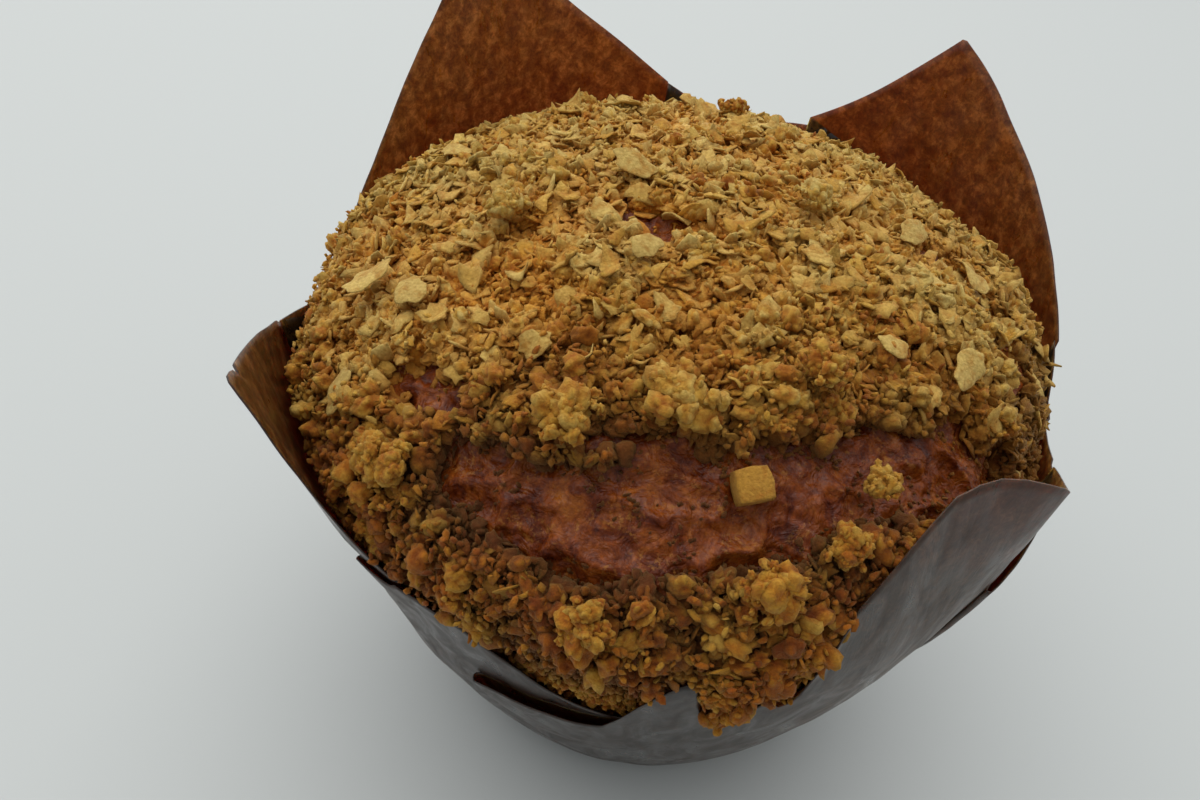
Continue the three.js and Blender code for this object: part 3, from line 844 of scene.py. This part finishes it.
def flakes_mesh(centres, normals, lengths, tints, tilt, thin, segments, ragged, curl, widths):
    """Curled ragged plates lying roughly along the surface."""
    flat, side, faces = plate(segments)
    count = len(centres)
    angle, reach = np.arctan2(flat[:, 1], flat[:, 0]), np.linalg.norm(flat, axis=1)
    phases = rng.uniform(0, 6.28, (count, 4, 1))
    waves = np.array([2, 3, 5, 7])[None, :, None]
    size = ragged * np.array([0.13, 0.15, 0.15, 0.12])[None, :, None]
    outline = 1 + (size * np.sin(waves * angle[None, None] + phases)).sum(1) * reach
    narrow = rng.uniform(*widths, (count, 1))
    x, y = flat[None, :, 0] * outline, flat[None, :, 1] * outline * narrow
    bend = rng.normal(size=(count, 3, 1)) * curl
    z = bend[:, 0] * x * x + bend[:, 1] * y * y + bend[:, 2] * x * y + 0.04 * np.sin(7 * x + phases[:, 0])
    z = z + side[None] * thin * (1 - 0.6 * reach[None] ** 2)
    local = np.stack([x, y, z], -1) * np.reshape(lengths, (-1, 1, 1)) / 2
    up = unit(normals + rng.normal(size=(count, 3)) * np.reshape(tilt, (-1, 1)))
    across = unit(np.cross(up, rng.normal(size=(count, 3))))
    frames = np.stack([across, np.cross(up, across), up], -1)
    return copies(np.einsum("nvk,njk->nvj", local, frames) + centres[:, None], faces, tints)


def granules(count, low, high, above, toast, rough, sparse, middle):
    """Chips, or lumps as finely divided as rough says."""
    azimuth, polar = scattered(count)
    outside = bareness(azimuth, polar)
    spots, _ = on_dome(azimuth, polar)
    dusty = sparse * (noise(spots, 2.4, 131) > 0.1)
    keep = (outside > BARE_EDGE) | (rng.uniform(size=count) < dusty)
    keep &= in_quarter(azimuth, middle)
    azimuth, polar, outside = azimuth[keep], polar[keep], outside[keep]
    coarse = coarseness(azimuth, polar)
    radii = rng.uniform(low, high, len(azimuth)) * (1 + 0.35 * coarse)
    radii *= np.where(outside > BARE_EDGE, 1, 0.7)
    level = bed_height(azimuth, polar) + above * radii * rng.uniform(0, 2, len(radii))
    level = np.where(outside > BARE_EDGE, level, crust_height(azimuth, polar) + 0.3 * radii)
    centres, _ = on_dome(azimuth, polar, level)
    centres = kept_inside(centres, radii)
    # More toasted where coarse: partly toasting, partly painted shade at the front.
    warm = toast + 0.4 * coarse + patchy(centres)
    if rough:
        return lumps_mesh(centres, radii, warm + 0.12 * rng.normal(size=len(radii)), rough)
    return chips_mesh(centres, radii, crumb_tint(len(radii), warm))


def clump_parts(starts, normals, sizes, toast, large, small, subdivisions=2):
    """Ragged clusters of lumps round each start, large ones inside and small ones over them."""
    parts = []
    for count, low, high, shell in ((large, 0.3, 0.55, 0.7), (small, 0.14, 0.28, 1.05)):
        out = unit(rng.normal(size=(len(starts), count, 3)))
        out -= 0.55 * (out * normals[:, None]).sum(-1, keepdims=True) * normals[:, None]
        out *= sizes[:, None, None] * shell * rng.uniform(0.35, 1.1, (len(starts), count, 1))
        radii = (sizes[:, None] * rng.uniform(low, high, (len(starts), count))).ravel()
        warm = np.repeat(toast, count) + 0.09 * rng.normal(size=len(radii))
        centres = kept_inside((starts[:, None] + out).reshape(-1, 3), radii)
        parts.append(lumps_mesh(centres, radii, warm, subdivisions))
    return joined(parts)


def clumps(count, low, high, toast, middle):
    azimuth, polar = scattered(count)
    keep = (bareness(azimuth, polar) > 0.6) & in_quarter(azimuth, middle)
    azimuth, polar = azimuth[keep], polar[keep]
    coarse = coarseness(azimuth, polar)
    sizes = rng.uniform(low, high, len(azimuth)) * (0.8 + 0.5 * coarse)
    starts, normals = on_dome(azimuth, polar, bed_height(azimuth, polar) + 0.35 * sizes)
    # More toasted where coarse: partly toasting, partly painted shade at the front.
    own = toast + 0.4 * coarse + patchy(starts) + 0.1 * rng.normal(size=len(azimuth))
    return clump_parts(starts, normals, sizes, own, 4, 5)


def laid_flakes(azimuth, polar, lengths, above):
    """Where flakes lie over the bed, and the dome's normals there."""
    level = bed_height(azimuth, polar) + rng.uniform(*above, len(azimuth))
    centres, normals = on_dome(azimuth, polar, level)
    return kept_inside(centres, lengths * 0.4), normals


def oat_flakes(count, low, high, toast, middle):
    azimuth, polar = scattered(count, 92)
    keep = (bareness(azimuth, polar) > 0.2) & in_quarter(azimuth, middle)
    azimuth, polar = azimuth[keep], polar[keep]
    coarse = coarseness(azimuth, polar)
    lengths = rng.uniform(low, high, len(azimuth)) * (1 - 0.25 * coarse)
    centres, normals = laid_flakes(azimuth, polar, lengths, (0.1, 1.1))
    # More toasted where coarse: partly toasting, partly painted shade at the front.
    tints = crumb_tint(len(lengths), toast + 0.4 * coarse + 0.6 * patchy(centres), 0.16)
    return flakes_mesh(centres, normals, lengths, tints, rng.uniform(0.2, 0.9, len(lengths)), **CHIPPED)


def pale_flakes(count=440, low=1.7, high=3.2):
    """Larger oats on top of the fine crumble."""
    azimuth, polar = scattered(count, 82)
    keep = (bareness(azimuth, polar) > 0.2) & (coarseness(azimuth, polar) < rng.uniform(0.1, 0.8, count))
    azimuth, polar = azimuth[keep], polar[keep]
    lengths = rng.uniform(low, high, len(azimuth))
    centres, normals = laid_flakes(azimuth, polar, lengths, (0.9, 1.5))
    golden = rng.uniform(0, 1, (len(azimuth), 1))
    tints = OAT * (1 - golden * (1 - GOLDEN))
    return flakes_mesh(centres, normals, lengths, tints, rng.uniform(0.15, 0.5, len(azimuth)), **LARGE)


def in_quarter(azimuth, middle):
    return (turn(middle, azimuth) >= -45) & (turn(middle, azimuth) < 45)


SPILL_LEFT, SPILL_WIDTH = 244, 53
SPILL_TOP = 47.5
SPILL_RADIUS = [(244, 37.2), (262, 36.9), (272, 36.2), (282.5, 36.2), (285, 38.7), (297, 36.4)]
GOLDEN_RATIO = 0.618034  # steps of it never bunch together


def rim_spill(count=190):
    """The crumbs that hang down to the low part of the rim in front, and over it at the right."""
    turns = np.arange(count)
    azimuth = SPILL_LEFT + SPILL_WIDTH * ((turns * GOLDEN_RATIO) % 1)
    low = np.interp(azimuth, *FRONT_EDGE.T) + 0.7
    height = low + (SPILL_TOP - low) * (turns + 0.5) / count
    radius = np.interp(azimuth, *np.transpose(SPILL_RADIUS))
    radius -= 0.4 * (height - 42).clip(0) * (azimuth > 280)
    _, normals = on_dome(azimuth, np.full(count, 88.0))
    sizes = rng.uniform(0.8, 1.2, count) + 0.4 * (azimuth > 285)
    toast = 0.45 + 0.2 * (azimuth > 283) + 0.15 * rng.normal(size=count)
    return clump_parts(placed(azimuth, radius, height), normals, sizes, toast, 5, 7)


def edge_crumbs(count=2400):
    """Crumbs that fill the gap between the dome's widest level and the paper."""
    turns = np.arange(count)
    azimuth = 360 * ((turns * GOLDEN_RATIO) % 1)
    radii = rng.uniform(0.35, 0.75, count)
    top = sheet_top(azimuth)
    low = np.minimum(top - 2.5, 41)
    height = low + (SPILL_TOP - low) * rng.uniform(0, 1, count)
    keep = (height < top + 0.4) | (top < 46)
    azimuth, height, radii, top = azimuth[keep], height[keep], radii[keep], top[keep]
    radius = sheet_radius(azimuth, np.minimum(height, top)) - PAPER_ROOM - 1.1 * radii
    # More toasted where coarse: partly toasting, partly painted shade at the front.
    toast = 0.4 + 0.2 * coarseness(azimuth, 60.0) + 0.12 * rng.normal(size=len(radii))
    return lumps_mesh(placed(azimuth, radius, height), radii, toast, 2)


# ---- the pieces that stand out singly ----
def dome_place(node, above=0.0):
    """A point above the middle of a CAD piece, and the dome's normal there."""
    low, high = (np.array(corner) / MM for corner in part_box(node))
    middle = (low + high) / 2
    x, y, z = middle - DOME_MIDDLE
    radius = crust_radius(np.degrees(np.arctan2(y, x)))
    normal = unit(np.array([x / radius**2, y / radius**2, z / CRUST_RISE**2]))
    return middle + above * normal, normal


def single_flake(node, length, toast):
    place, normal = dome_place(node, 0.9)
    tint = OAT * (1 - 0.8 * toast)
    one = flakes_mesh(place[None], normal[None], np.array([length]), tint[None], np.array([0.22]), **SINGLE)
    obj = mesh_object(node + "_rolled", *one)
    smoothed = obj.modifiers.new("smooth", "SUBSURF")
    smoothed.levels = smoothed.render_levels = 1
    dress(obj, CRUMBLE, "oat", node)


def single_clump(node, size, toast, above):
    place, normal = dome_place(node, above)
    one = clump_parts(place[None], normal[None], np.array([size / 2]), np.array([toast]), 14, 34, 3)
    dress(crumb_object(node + "_baked", *one), CRUMBLE, "crumble", node)


CHUNK_SIZE = [3.0, 2.8, 2.2]
CHUNK_SIDE = [-0.17, 0.12, 1.0]  # one pair of its sides stands square to this


def crumbling_cube():
    """A cube with worn corners and edges."""
    shape = bmesh.new()
    bmesh.ops.create_cube(shape, size=1)
    bmesh.ops.subdivide_edges(shape, edges=shape.edges[:], cuts=9, use_grid_fill=True)
    points, faces = arrays(shape)
    spread = np.abs(points)
    rounding = 1 - 0.1 * (spread.prod(1) * 8) - 0.05 * np.sort(spread, 1)[:, 1] * 2 * spread.max(1) * 2
    return points * rounding[:, None], faces


def square_chunk(node):
    place, normal = dome_place(node, 0.35)
    points, faces = crumbling_cube()
    points = points * CHUNK_SIZE
    points += points / 2 * (0.1 * fractal(points, 1.1, 3, 91))[:, None]
    across = unit(np.cross(normal, CHUNK_SIDE))
    downhill = np.cross(across, normal)
    downhill *= -np.sign(downhill[2])
    points = points @ np.stack([across, np.cross(normal, across), normal]) + place + downhill
    tint = crumb_tint(1, np.array([0.5]), 0.0)
    obj = mesh_object(node + "_baked", points, faces, np.repeat(tint, len(points), axis=0))
    dress(obj, CRUMBLE, "crumble", node)


# ---- assembly ----
cup_object = cup()
dress(cup_object, PARCHMENT_OUTSIDE, "parchment", "paper_cup")
cup_object.data.materials.append(PARCHMENT)
dress(cake(), CRUST, "crust", "cake")
dress(crumble_bed(), CRUMBLE, "crumble", "crumble_topping")

QUARTERS = {"front": 270, "right": 0, "back": 90, "left": 180}
for side, middle in QUARTERS.items():
    layers = {
        "crumbs_fine_": granules(30000, 0.14, 0.32, 2.6, 0.25, 0, 0.3, middle),
        "crumbs_": granules(2400, 0.4, 0.85, 0.8, 0.28, 3, 0.08, middle),
        "crumb_clumps_": clumps(900, 0.9, 1.7, 0.28, middle),
        "oat_flakes_": oat_flakes(13000, 0.9, 2.6, 0.05, middle),
    }
    for layer_name, layer in layers.items():
        dress(crumb_object(layer_name + side, *layer), CRUMBLE, "crumble")
dress(crumb_object("crumbs_over_rim", *rim_spill()), CRUMBLE, "crumble")
dress(crumb_object("crumbs_along_edge", *edge_crumbs()), CRUMBLE, "crumble")
dress(mesh_object("oat_flakes_large", *pale_flakes()), CRUMBLE, "oat")

FLAKES = {  # length, and how toasted
    "right": (4.4, 0.12),
    "upper_right": (3.2, 0.1),
    "back_right": (3.6, 0.15),
    "far_right": (3.8, 0.1),
    "crown": (4.2, 0.12),
    "back_left": (3.8, 0.1),
    "left_upper": (4.6, 0.05),
    "left_inner": (3.8, 0.15),
    "left_low": (4.2, 0.2),
    "front_crown": (3.4, 0.15),
}
for name, (length, toast) in FLAKES.items():
    single_flake("oat_flake_" + name, length, toast)

CLUMPS = {  # size, how toasted, and how far above the CAD piece's middle
    "bit_bare_right": (2.0, 0.45, 0.0),
    "curl_right": (3.0, 0.25, 0.5),
    "clump_front_ball": (4.2, 0.52, 0.9),
    "clump_front_left": (4.0, 0.5, 0.9),
    "clump_front_right": (3.6, 0.5, 0.8),
    "clump_centre": (5.6, 0.3, 0.6),
    "clump_centre_right": (4.0, 0.62, 0.8),
    "clump_ring": (4.6, 0.4, 0.8),
    "clump_left": (4.6, 0.4, 0.9),
    "clump_upper_left": (4.0, 0.35, 0.8),
    "clump_crown": (3.4, 0.25, 0.8),
    "clump_back": (3.0, 0.6, 0.3),
    "clump_back_low": (3.4, 0.45, 0.5),
}
for name, (size, toast, above) in CLUMPS.items():
    single_clump("crumble_" + name, size, toast, above)
square_chunk("crumble_chunk_square")


# ---- floor, light and camera, in metres ----
FLOOR_COLOUR = (0.575, 0.597, 0.593, 1)
ROOM_DARK, ROOM_BRIGHT = (0.2, 0.203, 0.203, 1), (1.12, 1.15, 1.15, 1)
KEY_PLACE, KEY_AIM = (-0.18, 0.22, 0.84), (0, 0, 0.03)
BRIGHT_SIDE = (-0.42, 0.9, 0)  # the room is darker in front, where the onlooker stands
CAMERA_TURNS = (-7.6, 44.25, 8.47)  # yaw, pitch down and roll
CAMERA_PLACE = (0, -0.07219, 0.10809)
FOCAL_LENGTH, SENSOR_WIDTH = 25.85, 36


def floor():
    bpy.ops.mesh.primitive_plane_add(size=3, location=(0, 0, -0.0001))
    obj = bpy.context.object
    obj.name = "floor"
    white = Material("floor").finish(Base_Color=FLOOR_COLOUR, Roughness=0.55, Specular_IOR_Level=0.3)
    obj.data.materials.append(white)


def key_light():
    data = bpy.data.lights.new("key", "AREA")
    data.shape, data.size, data.energy, data.color = "DISK", 1.2, 4.8, (1, 0.985, 0.96)
    obj = bpy.data.objects.new("key", data)
    obj.location = KEY_PLACE
    obj.rotation_euler = (Vector(KEY_AIM) - Vector(KEY_PLACE)).to_track_quat("-Z", "Y").to_euler()
    bpy.context.scene.collection.objects.link(obj)


def room():
    world = bpy.data.worlds.new("soft room")
    world.use_nodes = True
    nodes, link = world.node_tree.nodes, world.node_tree.links.new
    place = nodes.new("ShaderNodeTexCoord")
    along = nodes.new("ShaderNodeVectorMath")
    along.operation = "DOT_PRODUCT"
    along.inputs[1].default_value = BRIGHT_SIDE
    spread = nodes.new("ShaderNodeMapRange")
    spread.inputs["From Min"].default_value, spread.inputs["From Max"].default_value = -1, 1
    sky = nodes.new("ShaderNodeValToRGB")
    for stop, colour in zip(sky.color_ramp.elements, (ROOM_DARK, ROOM_BRIGHT)):
        stop.color = colour
    link(place.outputs["Generated"], along.inputs[0])
    link(along.outputs["Value"], spread.inputs["Value"])
    link(spread.outputs["Result"], sky.inputs["Fac"])
    link(sky.outputs["Color"], nodes["Background"].inputs["Color"])
    bpy.context.scene.world = world


def camera():
    yaw, pitch, roll = np.radians(CAMERA_TURNS)
    forward = np.array([np.sin(yaw) * np.cos(pitch), np.cos(yaw) * np.cos(pitch), -np.sin(pitch)])
    level = np.array([np.cos(yaw), -np.sin(yaw), 0])
    lifted = np.cross(level, forward)
    right = np.cos(roll) * level + np.sin(roll) * lifted
    up = np.cos(roll) * lifted - np.sin(roll) * level
    data = bpy.data.cameras.new("camera")
    data.sensor_width, data.lens, data.clip_start = SENSOR_WIDTH, FOCAL_LENGTH, 0.005
    obj = bpy.data.objects.new("camera", data)
    turned = Matrix(np.stack([right, up, -forward], 1).tolist()).to_4x4()
    obj.matrix_world = Matrix.Translation(CAMERA_PLACE) @ turned
    bpy.context.scene.collection.objects.link(obj)
    bpy.context.scene.camera = obj


floor()
key_light()
room()
bpy.context.scene.view_settings.view_transform = "Standard"
camera()
